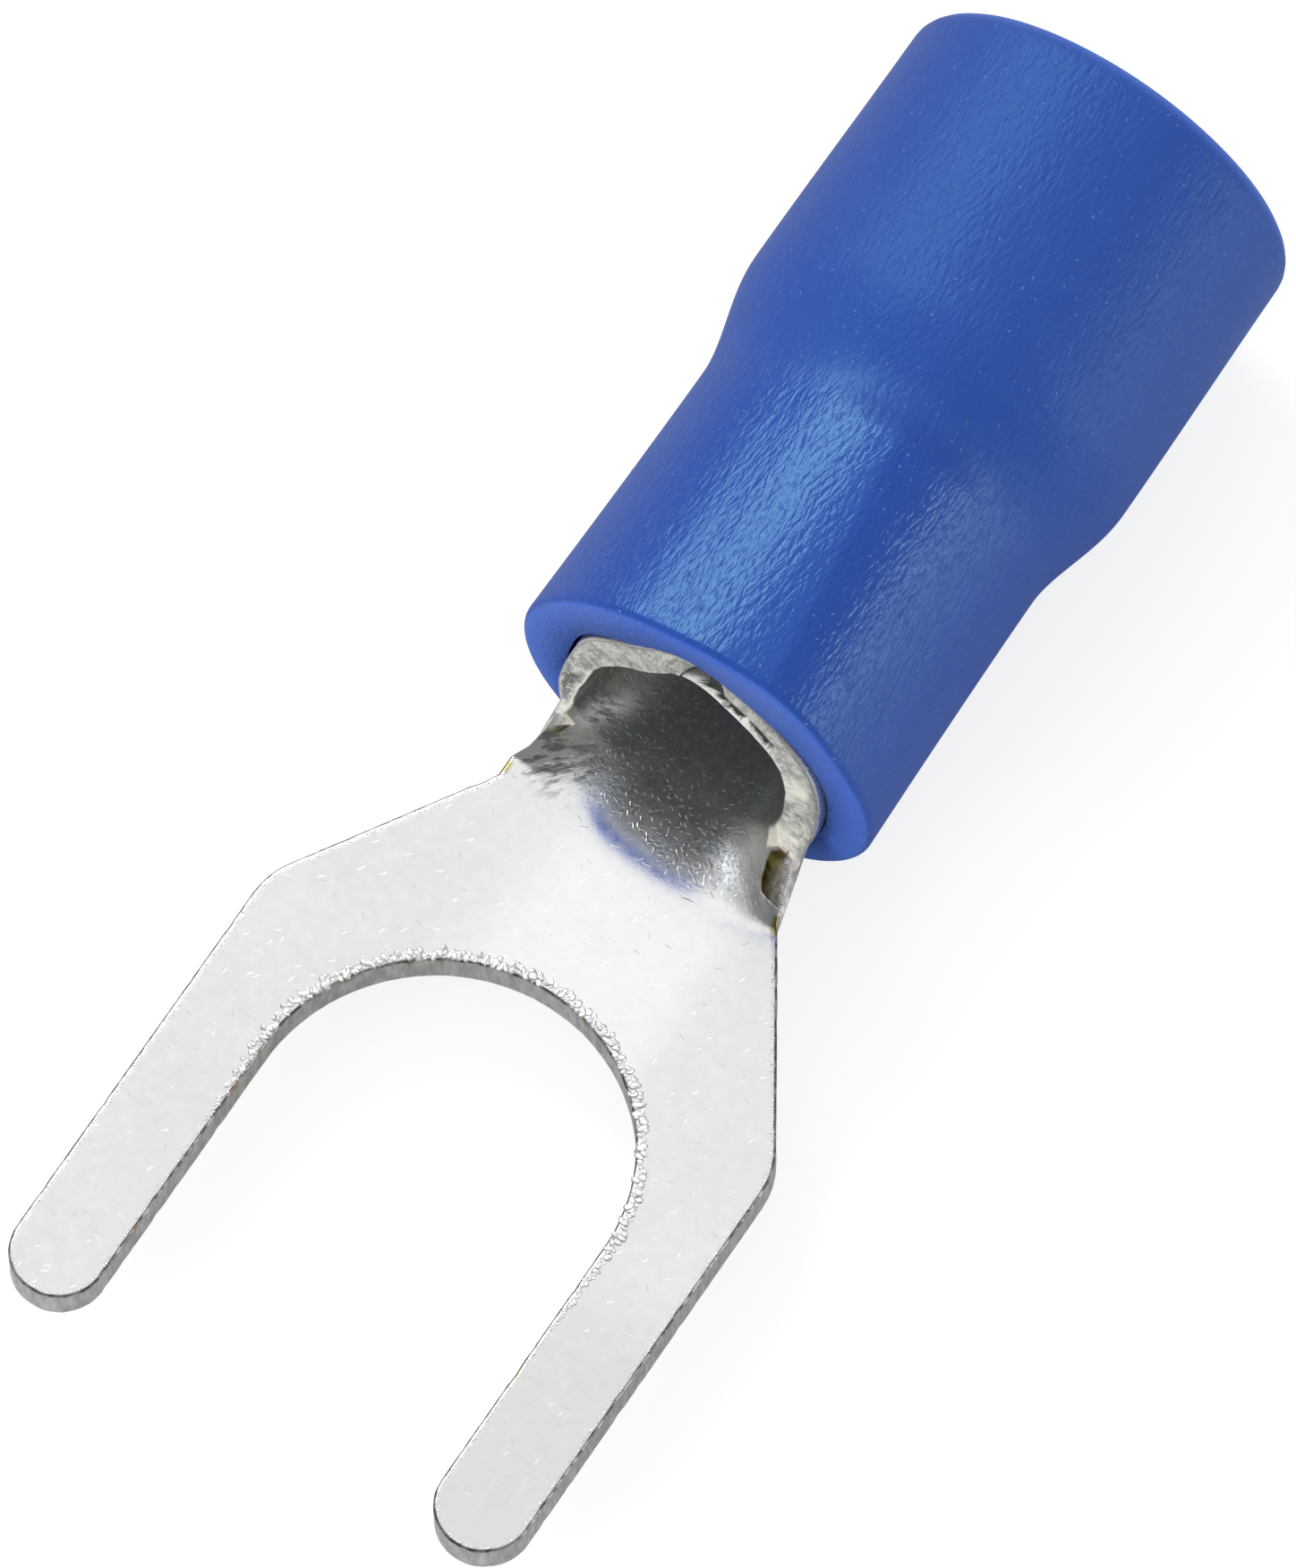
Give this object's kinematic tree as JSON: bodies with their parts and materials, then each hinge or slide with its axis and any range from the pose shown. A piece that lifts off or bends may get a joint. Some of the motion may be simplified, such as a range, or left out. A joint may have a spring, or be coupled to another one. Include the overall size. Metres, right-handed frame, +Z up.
{
  "type": "insulated fork wire terminal",
  "caption": "Crimp wire terminal with a flat open fork tongue, a rolled metal barrel and a stepped blue insulating sleeve.",
  "frame": {"origin": "centre of the stud slot's round end, on the tongue's underside", "axes": "+Y along the barrel towards the wire entry, +Z up from the tongue's top face on the side of the seam, +X across the tines"},
  "size_m": [0.008, 0.0211, 0.0059],
  "materials": {
    "tinned_metal": "bright satin tin plate over copper alloy",
    "blue_vinyl": "soft satin blue vinyl"
  },
  "bodies": {
    "root": {"fork_terminal": "tinned_metal", "insulating_sleeve": "blue_vinyl"}
  },
  "joints": []
}
